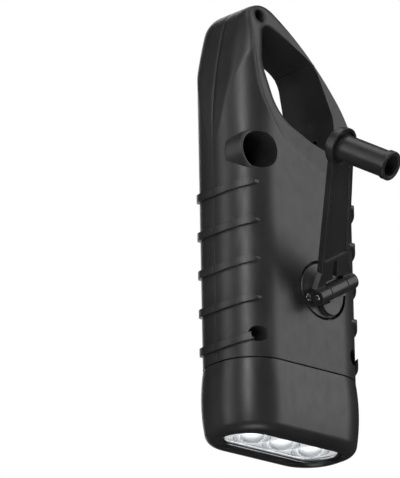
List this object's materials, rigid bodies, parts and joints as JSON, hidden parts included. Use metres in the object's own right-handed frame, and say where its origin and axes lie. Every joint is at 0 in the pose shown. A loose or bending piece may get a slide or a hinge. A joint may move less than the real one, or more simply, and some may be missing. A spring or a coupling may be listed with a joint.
{
  "type": "hand crank flashlight",
  "caption": "Flat hand crank flashlight with a solar panel on the front, a folding crank with a sliding grip on the back and a sprung carabiner gate on top.",
  "frame": {"origin": "centre of the lamp window, on the plane of its rim, 0.8 mm in front of the sunk window", "axes": "+Z runs from the lamp face up the long axis to the carabiner, -Y is the solar side, +Y the crank side, and -X the side with the gate and the button"},
  "size_m": [0.0522, 0.0774, 0.1366],
  "materials": {
    "black_plastic": "satin moulded, very fine grain",
    "grey_plastic": "satin moulded",
    "clear_lens": "clear, polished",
    "reflector": "bright plated",
    "led": "water-clear dome",
    "circuit": "solder mask",
    "solar": "dark cell under a clear coat",
    "battery": "shrink sleeve",
    "gear": "natural moulded",
    "steel": "turned",
    "winding": "enamelled copper winding",
    "magnet": "sintered"
  },
  "bodies": {
    "housing": {"front_shell": "black_plastic", "back_shell": "black_plastic", "lamp_head": "black_plastic", "lens": "clear_lens", "reflector": "reflector", "led_left": "led", "led_centre": "led", "led_right": "led", "led_board": "circuit", "solar_bezel": "grey_plastic", "solar_panel": "solar", "main_board": "circuit", "battery_pack": "battery", "outer_plate": "gear", "inner_plate": "gear", "idler_axle": "steel", "stator_coil": "winding", "gate_pin": "steel", "gate_spring": "steel", "switch_body": "grey_plastic", "case_screws": "steel"},
    "crank": {"crank_hub": "black_plastic", "crank_gear": "gear", "hub_screws": "steel", "hinge_pin": "steel"},
    "arm": {"crank_arm": "black_plastic"},
    "bush": {"eye_bush": "grey_plastic"},
    "grip": {"crank_grip": "black_plastic"},
    "idler": {"idler_gear": "gear"},
    "rotor": {"generator_rotor": "magnet"},
    "gate": {"carabiner_gate": "black_plastic"},
    "button": {"power_button": "grey_plastic", "switch_plunger": "grey_plastic"}
  },
  "joints": [
    {"name": "crank_spin", "type": "hinge", "parent": "housing", "child": "crank", "pos_m": [-0.0055, 0.013, 0.0475], "axis": [0, 1, 0], "continuous": true},
    {"name": "arm_fold", "type": "hinge", "parent": "crank", "child": "arm", "pos_m": [-0.0059, 0.0187, 0.04681], "axis": [-0.866, 0, 0.5], "range_deg": [-34.5, 60]},
    {"name": "grip_spin", "type": "hinge", "parent": "arm", "child": "bush", "pos_m": [0.0133, 0.04509, 0.08007], "axis": [-0.2832, 0.8241, -0.4905], "continuous": true},
    {"name": "grip_slide", "type": "slide", "parent": "bush", "child": "grip", "axis": [0.2832, -0.8241, 0.4905], "range_m": [0, 0.0138]},
    {"name": "idler_spin", "type": "hinge", "parent": "housing", "child": "idler", "pos_m": [0.00541, 0.006, 0.05514], "axis": [0, 1, 0], "continuous": true},
    {"name": "rotor_spin", "type": "hinge", "parent": "housing", "child": "rotor", "pos_m": [0.00127, 0.003, 0.06653], "axis": [0, 1, 0], "continuous": true},
    {"name": "gate_swing", "type": "hinge", "parent": "housing", "child": "gate", "pos_m": [-0.0198, 0, 0.0934], "axis": [0, 1, 0], "range_deg": [0, 30], "stiffness_Nm_per_rad": 0.05, "springref_deg": -5.73},
    {"name": "button_press", "type": "slide", "parent": "housing", "child": "button", "axis": [1, 0, 0], "range_m": [0, 0.0009], "stiffness_N_per_m": 800, "springref_m": -0.0004}
  ],
  "couplings": [
    {"joint": "idler_spin", "follows": "crank_spin", "ratio": -3.4},
    {"joint": "rotor_spin", "follows": "crank_spin", "ratio": 10.2}
  ]
}
